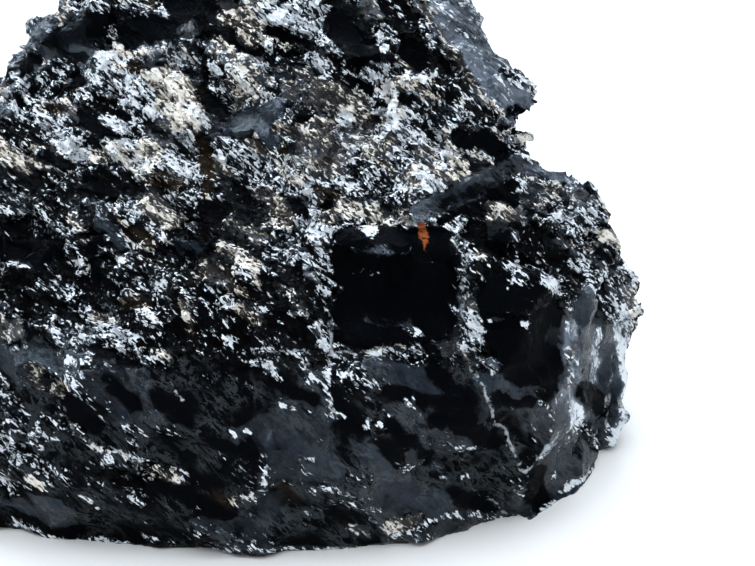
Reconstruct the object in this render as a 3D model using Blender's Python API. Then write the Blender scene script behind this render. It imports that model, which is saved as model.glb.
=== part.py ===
"""A lump of morion, black smoky quartz: one broken piece that rests on a flat fracture face.

Run it with  blender --background --python part.py
Sizes are millimetres, which MM turns into Blender's metres. The origin is at the middle of the
resting face, +Z is up, and the side seen first faces -Y.
"""

import math

import bmesh
import bpy
import numpy as np
from mathutils import Matrix, Vector
from mathutils.bvhtree import BVHTree
from mathutils.kdtree import KDTree

MM = 0.001

NODE_NAME = "morion_lump"

# Size of the small even faces that the stone is worked in, how many triangles are left of them before
# the foot is cut flat, how far the blocks run on below the resting level, and the level's tolerance
GRAIN_SIZE = 1.0
TRIANGLE_BUDGET = 9600
HIDDEN_FOOT = 3.0
LEVEL_TOLERANCE = 1e-7

# Corners of the broad lower block, which carries the lump and makes the shoulder at the right
LOWER_BLOCK = (
    (-66, -12, 0), (-55.5, -33.5, 0), (-45.5, -38.3, 0), (-32.5, -41.5, 0), (-20, -43, 0),
    (-4, -42.5, 0), (14.5, -42.3, 0), (25, -35.5, 0), (45, -31, 0), (54, -22.5, 0), (60, -12.5, 0),
    (63.5, 2, 0), (61, 24, 0), (46, 40, 0), (10, 46, 0), (-34, 42, 0), (-60, 24, 0), (-67, 4, 0),
    (-62, -35, 24), (-32, -45, 20), (-4, -46, 25), (16, -45, 24), (42, -37, 28), (56, -24, 26),
    (70.5, 5, 24), (69.6, 6, 30), (66, 24, 26), (46, 44, 34), (6, 49, 36), (-40, 46, 34),
    (-69.4, -4, 18), (-68.2, 0, 42.5), (-66, 24, 34), (-61, 0, 66), (-55, -31, 46),
    (-24, -42, 43), (2, -41, 45), (20, -37, 58), (41, -28, 58), (53, -18, 50),
    (64.2, 2, 43.8), (60.4, 3, 51), (56.5, 7, 54.8), (48, 9, 57), (40, 34, 54), (-40, 40, 60),
)

# Corners of the block above, which leans back and stops short of the shoulder
UPPER_BLOCK = (
    (-42.4, 8, 91), (-37, 14, 96), (-22, 19, 99), (2, 15, 99.6), (20, 19, 97.5), (29, 17, 94),
    (33.9, 11, 90.2), (22.5, -6, 84.5), (34, -9, 76), (43.5, 3, 66.5), (45.6, 6, 69), (44.4, 9, 76),
    (38.8, 10, 83.6), (36, 34, 78), (41, 32, 60), (26, 42, 74), (-4, 44, 84), (-34, 40, 82),
    (-54, 24, 66), (-53.6, 4, 81), (-55.6, -3, 76), (-58, -20, 60), (-52, -30, 50), (-22, -37, 48),
    (4, -35, 52), (22, -31, 60), (38, -20, 62), (42.6, 3, 61), (40, 20, 40), (-40, 30, 40),
)

# Corners of the knob that stands out behind the upper left edge
LEFT_KNOB = (
    (-47, 10, 86.6), (-49.4, 9, 85.6), (-51.6, 7, 83.6), (-54.6, 2, 80), (-57, 10, 70), (-50, 26, 78),
    (-40, 22, 86), (-40, 6, 80), (-48, -6, 70), (-44, 20, 60),
)

# How far the joined blocks are swelled before anything is struck off them
SWELL = 1.5

# Broad conchoidal faces that show from the front: x, height, width across, depth, and how far the
# blow leans to the right and upwards from the way the stone faces there, in degrees. Each is dropped
# on the front along +Y.
FRONT_FACES = (
    # the wide dark faces of the lower front
    (-18, 13, 34, 1.6, -4, 2), (-34, 24, 26, 1.4, 6, 4), (-7, 24, 28, 1.5, 8, 2), (5, 15, 20, 1.3, -8, -2),
    (21, 25, 26, 1.6, 6, 8), (11, 10, 22, 1.4, 6, -4), (34, 18, 22, 1.5, -8, 4), (43, 26, 22, 1.6, 8, 0),
    (26, 7, 18, 1.2, -10, 6), (38, 8, 16, 1.4, 12, -6),
    # the faces that turn under along its foot
    (2, 3, 22, 1.2, 4, -16), (-18, 4, 24, 1.3, -6, -18), (-39, 6, 22, 1.4, 0, -16), (-50, 9, 20, 1.4, -6, -12),
    (14, 3, 16, 1.0, 8, -18),
    # the black face on the corner, and the end that turns away at the right
    (50, 12, 16, 1.8, 16, -12), (60, 18, 16, 1.8, 10, -4), (61, 34, 18, 1.8, 8, 0), (55, 42, 16, 1.8, -4, 6),
    (64, 12, 16, 1.6, 12, -4), (59, 46, 12, 1.5, 14, 10), (50, 52, 12, 1.2, 0, 20), (45, 56, 9, 1.0, -6, 10),
    # the dark faces right of the hollow
    (47, 40, 20, 1.8, 4, -4), (39, 44, 14, 1.4, -12, 4), (40, 34, 12, 1.2, 14, -8),
    # the sloping upper front, from left to right
    (-48, 46, 14, 2.0, -12, 0), (-36, 50, 14, 1.8, 10, -10), (-44, 61, 15, 1.9, -8, 14), (-31, 57, 14, 1.8, 12, -4),
    (-20, 52, 15, 1.9, -14, 8), (-10, 45, 13, 1.5, 10, 10), (-4, 52, 13, 1.6, -8, -12), (-36, 77, 15, 2.0, 8, -14),
    (-28, 85, 13, 1.8, -6, 16), (-39, 86, 10, 1.4, -16, 0), (-20, 68, 16, 1.9, 12, 10), (-6, 68, 14, 1.9, -12, 18),
    (-28, 66, 13, 1.6, -10, -8), (2, 82, 15, 1.9, 8, 10), (13, 76, 14, 1.8, -12, 0), (24, 74, 14, 1.8, 10, -8),
    (19, 65, 14, 1.6, -6, 12), (8, 58, 12, 1.6, 8, -6), (34, 68, 12, 1.5, 10, 4), (-12, 80, 14, 1.8, -6, -10),
    (12, 88, 14, 1.8, 4, 14), (24, 86, 12, 1.6, 16, -4), (-46, 72, 13, 1.8, 6, -6),
    # the smooth grey face on the upper right shoulder
    (36, 79, 20, 0.8, 14, 0), (40, 71, 12, 0.9, 6, -8),
)

# Where the lines start that drop the faces on the front
FAR_IN_FRONT = -200.0

# The share of a face's width around its middle that tells which way the stone faces there
FACING_SHARE = 1 / 3

# The black hollow above the level break: middle x and height, half its width and height, how far
# back its floor stands at the foot and under the slab, and how wide its walls are
HOLLOW = {"x": 19.5, "height": 47.5, "half_width": 12.5, "half_height": 10.0, "foot": 4.2, "head": 8.5, "wall": 2.0}

# The smooth slab whose sloping face overhangs the hollow: its corners, in the order far and near edge,
# from left to right, then the underside
SLAB = (
    (22.9, -25.5, 58.6), (28.6, -23.0, 63.0), (35.6, -18.5, 65.3), (43.4, -9.5, 64.6),
    (24.6, -29.0, 56.6), (33.8, -27.5, 59.7), (40.6, -21.0, 61.6), (44.6, -13.0, 61.2),
    (25.0, -18.0, 54.0), (34.0, -16.0, 55.5), (43.0, -8.0, 57.5),
)

# Ledges that the stone parted along: centre x, height, run, drop, and the run's fall to the right
FRONT_LEDGES = (
    (-16, 40, 40, 1.8, 6), (-42, 34, 26, 1.6, 30), (-30, 66, 34, 2.4, 36), (-8, 60, 30, 2.2, 38),
    (6, 80, 28, 2.2, 34), (50, 31, 24, 1.5, 50), (-40, 50, 26, 2.0, 40), (10, 66, 26, 2.0, 30),
)

# Seeded chips over the whole lump, coarse ones first: how many, least and most width, depth to width
CHIP_SEED = 31
CHIP_SIZES = ((44, 17, 27, 0.075), (110, 8.5, 15, 0.10))
CHIP_LEAN = 30.0
DEPTH_SPREAD = (0.6, 1.3)
WITH_GRAIN = 0.5
GRAIN_RUN = Vector((0.80, 0.10, -0.60)).normalized()
GRAIN_STRETCH = 1.7
CHIPS_BETWEEN_NORMALS = 6

# The tilted facets that the whole surface breaks into, coarse ones first: distance between their
# middles, usual tilt in degrees, and the most that one stands out or back from its neighbours. They
# are long along the grain, cost the stone a little of its size, and sink or rise no more than these
# shares of the distance between them.
FACET_SEED = 12
FACET_SIZES = ((15.0, 12.0, 0.9), (7.5, 17.0, 0.7))
FACET_STRETCH = 1.6
FACET_LOSS = 0.6
FACET_LOWEST = 1 / 4
FACET_HIGHEST = 1 / 8

# How much of the facets shows on the calm lower front, the heights between which the crushed rock
# takes over above it, and the depths between which it takes over behind it
CALM_SHARE = 0.45
CRUSHED_HEIGHTS = (40.0, 50.0)
CRUSHED_DEPTHS = (-15.0, -5.0)

# Smooth faces that the facets nearly leave alone: middle and reach, and the shares of the reach
# between which they take over
SMOOTH_SPOTS = (
    (34.0, -24.0, 61.5, 12.0), (19.0, -34.0, 47.0, 13.0), (38.0, 0.0, 79.0, 10.0), (-6.0, -12.0, 70.0, 6.0),
    (46.0, -28.0, 40.0, 9.0), (44.0, -34.0, 24.0, 11.0), (21.0, -40.0, 27.0, 11.0), (4.0, -42.0, 17.0, 9.0),
)
SMOOTH_SHARE = 0.25
SMOOTH_EDGE = (0.67, 1.0)

# Corners that the outline turns on, which only chips narrower than SPARED_WIDTH may reach
OUTLINE_CORNERS = (
    (-42, 8, 91), (-37, 14, 96), (-49, 8, 86), (-54, 2, 80), (-61, 0, 67), (20, 19, 97), (29, 17, 94), (34, 11, 90),
    (39, 9, 83), (44, 8, 77), (46, 6, 70), (43, 3, 64), (49, 9, 57), (56, 7, 55), (60, 3, 51), (64, 2, 44),
    (67, 3, 37), (70, 5, 28), (70, 5, 16), (67, 3, 3), (58, -17, 1), (50, -26, 1), (40, -31, 1), (25, -35, 1),
    (15, -42, 1), (-4, -42, 1), (-20, -43, 1), (-32, -41, 1), (-45, -38, 1), (-55, -33, 1), (-40, -43, 18),
)
SPARED_WIDTH = 8.0
SPARED_REACH = 2.0
SPARED_FOOT = 5.0

# Chips wider than this keep off the front, whose broad faces are named above
NAMED_WIDTH = 12.0
NAMED_SIDE = -0.25

# How far a flake reaches, in its widths, and how deep it may bite, in its depths
FLAKE_REACH = 0.9
DEEPEST_FLAKE = 2.5

# The share of a ledge's run over which the set-back stone above it comes level again, how wide its
# step is in millimetres, and how much the stone above it drops for each millimetre it stands back
LEDGE_RISE = 1 / 3
LEDGE_STEP = 0.8
LEDGE_SINK = 0.25

# Three random parts of this size together make a direction about one long
DIRECTION_PART = 1 / math.sqrt(3)

MORION = {"colour": (0.012, 0.012, 0.014, 1.0), "roughness": 0.12, "metallic": 0.0, "ior": 1.544}


def clear_scene():
    """Removes whatever the file holds."""
    for thing in list(bpy.data.objects):
        bpy.data.objects.remove(thing)


def link(name, mesh):
    """A new object that shows the mesh."""
    thing = bpy.data.objects.new(name, mesh)
    bpy.context.scene.collection.objects.link(thing)
    return thing


def block(name, corners):
    """The flat-faced block that these corners span, carried below the resting level at its foot."""
    mesh = bpy.data.meshes.new(name)
    shape = bmesh.new()
    for x, y, z in corners:
        shape.verts.new(Vector((x, y, z - (HIDDEN_FOOT if z == 0 else 0))) * MM)
    spare = bmesh.ops.convex_hull(shape, input=shape.verts)
    inside = [v for v in spare["geom_interior"] if isinstance(v, bmesh.types.BMVert)]
    bmesh.ops.delete(shape, geom=inside, context="VERTS")
    bmesh.ops.recalc_face_normals(shape, faces=shape.faces)
    shape.to_mesh(mesh)
    shape.free()
    return link(name, mesh)


def grown_together(blocks):
    """One mesh of small, even faces around all that the blocks fill. The blocks are used up."""
    shape = bmesh.new()
    for piece in blocks:
        shape.from_mesh(piece.data)
        bpy.data.objects.remove(piece)
    mesh = bpy.data.meshes.new("grown_together")
    shape.to_mesh(mesh)
    shape.free()
    return evened(link("grown_together", mesh))


def evened(thing):
    """The object's shape in small, even faces. The object itself is used up."""
    even = thing.modifiers.new("even_faces", "REMESH")
    even.mode = "VOXEL"
    even.voxel_size = GRAIN_SIZE * MM
    graph = bpy.context.evaluated_depsgraph_get()
    mesh = bpy.data.meshes.new_from_object(thing.evaluated_get(graph))
    bpy.data.objects.remove(thing)
    return mesh


def places_of(mesh):
    """The mesh's points in millimetres."""
    flat = np.empty(len(mesh.vertices) * 3, np.float32)
    mesh.vertices.foreach_get("co", flat)
    return flat.reshape(-1, 3).astype(float) / MM


def normals_of(mesh):
    """The outward direction at each point."""
    flat = np.empty(len(mesh.vertices) * 3, np.float32)
    mesh.vertices.foreach_get("normal", flat)
    return flat.reshape(-1, 3).astype(float)


def put_places(mesh, places):
    """Moves the mesh's points to these places."""
    mesh.vertices.foreach_set("co", (places * MM).astype(np.float32).ravel())
    mesh.update()


def strike(places, spot, blow, width, depth, run=None):
    """Knocks a shell-shaped flake off: points that a ball covers sink along the blow to its far wall.

    The blow points out of the stone. The width and the depth are the flake's on a flat face, and a
    run stretches it along the grain.
    """
    radius = (width * width / 4 + depth * depth) / (2 * depth)
    offset = places - np.array(spot)
    height = offset @ blow
    sideways = offset - np.outer(height, blow)
    if run is not None:
        along = np.array(run) - np.array(blow) * np.dot(run, blow)
        along /= np.linalg.norm(along)
        sideways -= np.outer(sideways @ along, along) * (1 - 1 / GRAIN_STRETCH)
    across = np.einsum("ij,ij->i", sideways, sideways)
    reach = np.minimum(across, radius * radius)
    sunk = height - (radius - depth) + np.sqrt(radius * radius - reach)
    hit = (sunk > 0) & (across < (width * FLAKE_REACH) ** 2)
    sink = np.minimum(sunk[hit], depth * DEEPEST_FLAKE)
    places[hit] -= np.outer(sink, blow)


def front_spot(tree, x, height):
    """Where a line along +Y at this x and height first meets the stone."""
    spot, _, _, _ = tree.ray_cast(Vector((x, FAR_IN_FRONT, height)), Vector((0, 1, 0)))
    return spot


def tree_of(mesh, places):
    """A search tree over the mesh's faces, in millimetres."""
    faces = [tuple(face.vertices) for face in mesh.polygons]
    return BVHTree.FromPolygons([tuple(p) for p in places], faces)


def strike_front(mesh, places):
    """Opens the broad faces, the hollow and the ledges that show from the front."""
    for x, height, width, depth, right, up in FRONT_FACES:
        put_places(mesh, places)
        spot = front_spot(tree_of(mesh, places), x, height)
        near = np.linalg.norm(places - np.array(spot), axis=1) < width * FACING_SHARE
        facing = normals_of(mesh)[near].mean(axis=0)
        strike(places, spot, lean(facing, right, up), width, depth)
    for x, height, length, drop, fall in FRONT_LEDGES:
        spot = front_spot(tree_of(mesh, places), x, height)
        part_ledge(places, spot, length, drop, fall)


def lean(direction, right, up):
    """The direction turned by these angles, in degrees, to the right and upwards."""
    sideways = Vector(direction).cross(Vector((0, 0, 1))).normalized()
    turn = Matrix.Rotation(math.radians(right), 3, "Z") @ Matrix.Rotation(math.radians(up), 3, sideways)
    return (turn @ Vector(direction)).normalized()


def open_hollow(places):
    """Sets the black hollow back into the front, deepest at its head."""
    across = np.abs(places[:, 0] - HOLLOW["x"]) - HOLLOW["half_width"]
    rise = places[:, 2] - HOLLOW["height"]
    inside = -np.maximum(across, np.abs(rise) - HOLLOW["half_height"])
    share = np.clip(inside / HOLLOW["wall"], 0, 1) * (places[:, 1] < 0)
    climb = np.clip(rise / HOLLOW["half_height"] / 2 + 0.5, 0, 1)
    places[:, 1] += share * (HOLLOW["foot"] + (HOLLOW["head"] - HOLLOW["foot"]) * climb)


def part_ledge(places, spot, length, drop, fall):
    """Sets the stone back above a line on the front, by the drop, and fades that over the length."""
    angle = math.radians(fall)
    along = np.array((math.cos(angle), 0, -math.sin(angle)))
    above = np.array((math.sin(angle), 0, math.cos(angle)))
    offset = places - np.array(spot)
    run = (offset @ along) / (length / 2)
    rise = offset @ above
    near = np.linalg.norm(offset, axis=1) < length
    fading = np.clip(1 - run**2, 0, 1) * np.clip(1 - rise / (length * LEDGE_RISE), 0, 1)
    share = fading * np.clip(rise / LEDGE_STEP, 0, 1)
    places[near] += np.outer(share[near] * drop, (0, 1, -LEDGE_SINK))


def chip_all_over(mesh):
    """Strikes seeded chips off every side, leaning so that each has a steep end and a feathered one."""
    chance = np.random.RandomState(CHIP_SEED)
    corners = np.array(OUTLINE_CORNERS, float)
    for count, least, most, depth_share in CHIP_SIZES:
        places = places_of(mesh)
        for turn in range(count):
            if turn % CHIPS_BETWEEN_NORMALS == 0:
                put_places(mesh, places)
                outward = normals_of(mesh)
            index = chance.randint(len(places))
            width = chance.uniform(least, most)
            near_corner = np.linalg.norm(corners - places[index], axis=1).min() < width / 2 + SPARED_REACH
            near_foot = places[index][2] < SPARED_FOOT
            named_side = outward[index][1] < NAMED_SIDE and width > NAMED_WIDTH
            if named_side or (width > SPARED_WIDTH and (near_corner or near_foot)):
                continue
            tilt = np.tan(np.radians(chance.uniform(0, CHIP_LEAN)))
            blow = outward[index] + tilt * chance.normal(size=3) * DIRECTION_PART
            blow /= np.linalg.norm(blow)
            depth = width * depth_share * chance.uniform(*DEPTH_SPREAD)
            run = GRAIN_RUN if chance.rand() < WITH_GRAIN else None
            strike(places, places[index].copy(), blow, width, depth, run)
        put_places(mesh, places)
        mesh = evened(link("chipped", mesh))
    return mesh


def break_into_facets(mesh):
    """Breaks the whole surface into tilted facets with small steps between them."""
    chance = np.random.RandomState(FACET_SEED)
    places = places_of(mesh)
    outward = normals_of(mesh)
    along = np.array(GRAIN_RUN)
    share = facet_share(places)
    for spacing, tilt, step in FACET_SIZES:
        low = places.min(axis=0) - spacing
        high = places.max(axis=0) + spacing
        count = int(np.prod(high - low) / spacing**3)
        middles = chance.uniform(low, high, (count, 3))
        tilts = chance.normal(size=(count, 3)) * np.tan(np.radians(tilt)) * DIRECTION_PART
        steps = chance.uniform(-step, step, count)
        tree = KDTree(count)
        for index, middle in enumerate(squeezed(middles, along)):
            tree.insert(middle, index)
        tree.balance()
        owner = np.array([tree.find(place)[1] for place in squeezed(places, along)])
        offset = places - middles[owner]
        height = np.einsum("ij,ij->i", offset, tilts[owner]) + steps[owner]
        height = np.clip(height - FACET_LOSS, -spacing * FACET_LOWEST, spacing * FACET_HIGHEST)
        places = places + outward * (height * share)[:, None]
    put_places(mesh, places)
    return evened(link("broken", mesh))


def squeezed(places, along):
    """The places with lengths along the grain shortened, so that what is even here is long in the stone."""
    return places - np.outer(places @ along, along) * (1 - 1 / FACET_STRETCH)


def facet_share(places):
    """How strongly the facets show at each place: least on the calm front and the smooth faces."""
    above = np.interp(places[:, 2], CRUSHED_HEIGHTS, (0, 1))
    behind = np.interp(places[:, 1], CRUSHED_DEPTHS, (0, 1))
    share = CALM_SHARE + (1 - CALM_SHARE) * np.maximum(above, behind)
    for x, y, z, reach in SMOOTH_SPOTS:
        away = np.linalg.norm(places - np.array((x, y, z)), axis=1) / reach
        share = share * np.interp(away, SMOOTH_EDGE, (SMOOTH_SHARE, 1))
    return share


def flat_footed(mesh):
    """Cuts the stone off at the resting level and closes the cut with one flat face."""
    shape = bmesh.new()
    shape.from_mesh(mesh)
    everything = shape.verts[:] + shape.edges[:] + shape.faces[:]
    cut = bmesh.ops.bisect_plane(
        shape, geom=everything, dist=LEVEL_TOLERANCE, plane_co=(0, 0, 0), plane_no=(0, 0, 1), clear_inner=True
    )
    rim = [e for e in cut["geom_cut"] if isinstance(e, bmesh.types.BMEdge)]
    bmesh.ops.holes_fill(shape, edges=rim, sides=0)
    bmesh.ops.recalc_face_normals(shape, faces=shape.faces)
    shape.to_mesh(mesh)
    shape.free()


def without_crumbs(mesh):
    """Takes away crumbs that the strikes knocked loose, so that one body is left."""
    shape = bmesh.new()
    shape.from_mesh(mesh)
    waiting = set(shape.verts)
    bodies = []
    while waiting:
        body = {waiting.pop()}
        edge = list(body)
        while edge:
            neighbours = {e.other_vert(v) for v in edge for e in v.link_edges} - body
            body |= neighbours
            edge = list(neighbours)
        waiting -= body
        bodies.append(body)
    bodies.sort(key=len)
    crumbs = [v for body in bodies[:-1] for v in body]
    bmesh.ops.delete(shape, geom=crumbs, context="VERTS")
    shape.to_mesh(mesh)
    shape.free()


def thinned(mesh, triangles):
    """The same stone with fewer triangles, kept along its ridges and left out of its flat faces."""
    helper = link("thinning", mesh)
    fewer = helper.modifiers.new("fewer_faces", "DECIMATE")
    fewer.ratio = triangles / (2 * len(mesh.polygons))
    graph = bpy.context.evaluated_depsgraph_get()
    made = bpy.data.meshes.new_from_object(helper.evaluated_get(graph))
    bpy.data.objects.remove(helper)
    return made


def set_over_origin(mesh):
    """Moves the stone sideways so that its box is centred over the origin."""
    places = places_of(mesh)
    middle = (places.min(axis=0) + places.max(axis=0)) / 2
    places[:, :2] -= middle[:2]
    put_places(mesh, places)


def morion():
    """Black, glassy smoky quartz."""
    material = bpy.data.materials.new("morion")
    material.use_nodes = True
    surface = material.node_tree.nodes["Principled BSDF"]
    surface.inputs["Base Color"].default_value = MORION["colour"]
    surface.inputs["Roughness"].default_value = MORION["roughness"]
    surface.inputs["Metallic"].default_value = MORION["metallic"]
    surface.inputs["IOR"].default_value = MORION["ior"]
    return material


def build():
    """Builds the lump."""
    clear_scene()
    lower = block("lower_block", LOWER_BLOCK)
    upper = block("upper_block", UPPER_BLOCK)
    rough = grown_together([lower, upper, block("left_knob", LEFT_KNOB)])
    places = places_of(rough)
    places += normals_of(rough) * SWELL
    strike_front(rough, places)
    open_hollow(places)
    put_places(rough, places)
    rough = chip_all_over(grown_together([link("struck", rough), block("slab", SLAB)]))
    rough = break_into_facets(rough)
    without_crumbs(rough)
    mesh = thinned(rough, TRIANGLE_BUDGET)
    flat_footed(mesh)
    without_crumbs(mesh)
    set_over_origin(mesh)
    stone = link(NODE_NAME, mesh)
    mesh.materials.append(morion())
    return stone


build()
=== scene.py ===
"""A lump of morion, black smoky quartz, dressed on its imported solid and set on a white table.

The stone is one piece. Its faces are broken again into finer facets, and its glass, crushed rock and
healed cracks are marked on it by attributes that the material reads.
"""

import itertools
import math

import bmesh
import bpy
import numpy as np
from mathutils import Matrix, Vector


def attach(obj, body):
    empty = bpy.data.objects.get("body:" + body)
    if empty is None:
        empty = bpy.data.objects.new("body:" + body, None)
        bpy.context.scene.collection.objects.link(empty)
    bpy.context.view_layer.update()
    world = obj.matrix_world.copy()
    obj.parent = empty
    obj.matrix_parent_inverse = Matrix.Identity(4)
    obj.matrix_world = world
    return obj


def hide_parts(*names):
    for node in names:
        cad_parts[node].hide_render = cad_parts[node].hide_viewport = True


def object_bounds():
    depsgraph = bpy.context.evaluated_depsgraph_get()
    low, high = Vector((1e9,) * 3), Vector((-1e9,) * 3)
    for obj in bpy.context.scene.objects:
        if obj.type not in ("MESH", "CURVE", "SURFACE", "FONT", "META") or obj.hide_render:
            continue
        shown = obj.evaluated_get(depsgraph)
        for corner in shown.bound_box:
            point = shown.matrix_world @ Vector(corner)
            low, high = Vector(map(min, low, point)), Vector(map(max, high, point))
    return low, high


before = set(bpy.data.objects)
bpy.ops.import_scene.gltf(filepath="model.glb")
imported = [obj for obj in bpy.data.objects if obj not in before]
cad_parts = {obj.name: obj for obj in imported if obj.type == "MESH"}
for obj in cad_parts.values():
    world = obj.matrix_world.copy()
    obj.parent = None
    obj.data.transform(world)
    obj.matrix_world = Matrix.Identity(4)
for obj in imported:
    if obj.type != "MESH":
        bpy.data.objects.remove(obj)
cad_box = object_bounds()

bl_info = {
    "name": "Morion lump",
    "version": (1, 0, 0),
    "blender": (4, 5, 0),
    "location": "3D View > Sidebar > Morion",
    "description": "Dresses a lump of morion and its table",
    "category": "Object",
}

MM = 0.001
NODE = "morion_lump"
PIECE = "morion_lump_surface"

# The first view: the point that it looks at, its distance and height angle, in millimetres and degrees
TARGET = np.array((16.5, -1.55, 35.3))
DISTANCE = 335.5
VIEW_HEIGHT = 25.0
LENS = 80.0
SENSOR = 36.0

# The stone's grain, down to the right across the front: its direction, the turn that brings the material
# along it, and how long its blocks and its splinters are for their width
GRAIN = np.array((0.80, 0.10, -0.60)) / math.sqrt(0.80**2 + 0.10**2 + 0.60**2)
GRAIN_TURN = (0.0, math.radians(47), math.radians(7))
GRAIN_STRETCH = 1.9
SHARD_STRETCH = 2.9

# Blocks of crushed rock from coarse to fine: spacing in millimetres, usual tilt in degrees, step in
# millimetres, and how long they are along the grain
BLOCKS = (
    (13.0, 9.0, 0.40, 1.6),
    (5.4, 18.0, 0.50, 1.8),
    (2.6, 24.0, 0.36, 2.4),
    (1.3, 26.0, 0.16, 2.6),
)

# Scars of struck glass, hollow with crisp ridges between them: spacing in millimetres, usual tilt in
# degrees, depth in millimetres, and how long they are along the grain
SCARS = (
    (15.0, 17.0, 0.95, 1.3),
    (6.2, 17.0, 0.36, 1.7),
    (2.6, 13.0, 0.11, 1.7),
)

# Kinds of stone: how much of it is white flecks, how warm and how milky it is, how calm its surface is,
# how much clear brown glass it has, and how little of the white table it mirrors
MARKS = ("white", "warm", "milk", "calm", "smoke", "dim")
KINDS = {
    "black": (-0.30, 0.10, 0.00, 1.00, 0.00, 1.20),
    "glass": (-0.06, 0.15, 0.35, 0.98, 0.05, 0.54),
    "slate": (-0.20, 0.00, 0.60, 0.95, 0.00, -0.20),
    "matt": (0.24, 0.15, 1.70, 0.40, 0.00, 0.00),
    "milky": (0.70, 0.00, 2.00, 0.92, 0.00, 0.00),
    "upright": (0.82, 0.00, 2.00, 0.92, 0.00, 0.00),
    "dark": (0.08, 0.30, 0.20, 0.35, 0.08, 0.80),
    "flecks": (0.29, 0.15, 0.15, 0.00, 0.05, 0.30),
    # white flecks of crushed rock, mostly painted glints where the stone would mirror a window
    "shards": (0.57, 0.00, 0.20, 0.00, 0.00, 0.00),
    # white crushed rock; many of its strokes are painted glints
    "bright": (0.84, 0.10, 0.60, 0.00, 0.00, 0.00),
    "pale": (0.75, 0.50, 0.50, 0.10, 0.00, 0.00),
    "cream": (0.62, 0.80, 0.90, 0.10, 0.10, 0.20),
    "beige": (0.42, 1.00, 1.00, 0.15, 0.30, 0.30),
    "grey": (0.38, 0.55, 1.30, 0.20, 0.00, 0.20),
    "brown": (0.06, 1.00, 0.15, 0.50, 1.00, 0.80),
}

# Marks that come from the worked surface: veins, rust, ridges, the scar's own number, and relief. The
# material paints ridges and raised relief lighter and clefts darker: painted highlight and painted shade
MADE_MARKS = ("vein", "rust", "ridge", "facet", "relief")

# What the crushed rock is made of where no stroke lies: kinds, and the share that each one takes
CRUSHED_MIX = (
    ("black", 0.14),
    ("dark", 0.20),
    ("flecks", 0.18),
    # patches of painted glints among the crushed rock
    ("shards", 0.16),
    ("grey", 0.09),
    ("beige", 0.10),
    ("cream", 0.08),
    ("bright", 0.05),
)
PATCH_SIZE = 4.6

# Glass lies below this height in the first view, in patches of this size on the other sides, and on the
# right end between these places to the right and below these heights in the first view
GLASS_TOP = -14
GLASS_PATCH = 26.0
END_FACE_FROM = (56, 63)
END_FACE_BELOW = (6, 12)

# Ripples on calm glass: size of the broad cells, how far off the blow may lie, least pitch, how much
# wider the pitch may get, and height
RIPPLE_CELL = 17.0
RIPPLE_BLOW = 30
RIPPLE_PITCH = 1.6
RIPPLE_SPREAD = 1.8
RIPPLE_HEIGHT = 0.13

# Healed cracks: how deep they are sunk, and their spacing and width where the first view doesn't reach
CRACK_DEPTH = 0.20
CRACK_SPACING = 30.0
CRACK_WIDTH = 0.30

# Strokes narrower than this colour the stone and leave its relief alone; a stroke's edge strays this
# far and is this soft
CARVING_STROKE = 1.25
STROKE_STRAY = 0.7
STROKE_SOFT = 0.35

# How unevenly white the crushed rock is, by cluster, by torn edge, and by larger and smaller splinter
CLUSTERED = 1.1
TORN = 1.7
LARGER_SPLINTERS = 1.0
SMALLER_SPLINTERS = 1.2

# How steeply the material's blocks, larger splinters and smaller splinters lean, in degrees
LEANS = (30, 26, 32)

# Quartz's refraction, the tint of its gloss, and how glossy its clear and its dull facets are
QUARTZ_IOR = 1.544
GLOSS_TINT = (0.66, 0.84, 1.0, 1)
GLOSS = (0.23, 0.008)

# Bright windows that the facets mirror: name, place, width and height in metres
WINDOWS = (
    ("window_left", (-0.42, 0.30, 0.60), 0.26, 0.30),
    ("window_back", (0.10, 0.52, 0.56), 0.40, 0.16),
    ("window_above", (-0.06, -0.06, 0.85), 0.16, 0.26),
)
WINDOW_COLOUR = (0.84, 0.92, 1.0)
DAYLIGHT_COLOUR = (0.88, 0.94, 1.0)
FILL_COLOUR = (0.94, 0.97, 1.0)
ROOM_COLOUR = (0.85, 0.92, 1.0, 1)
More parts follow.
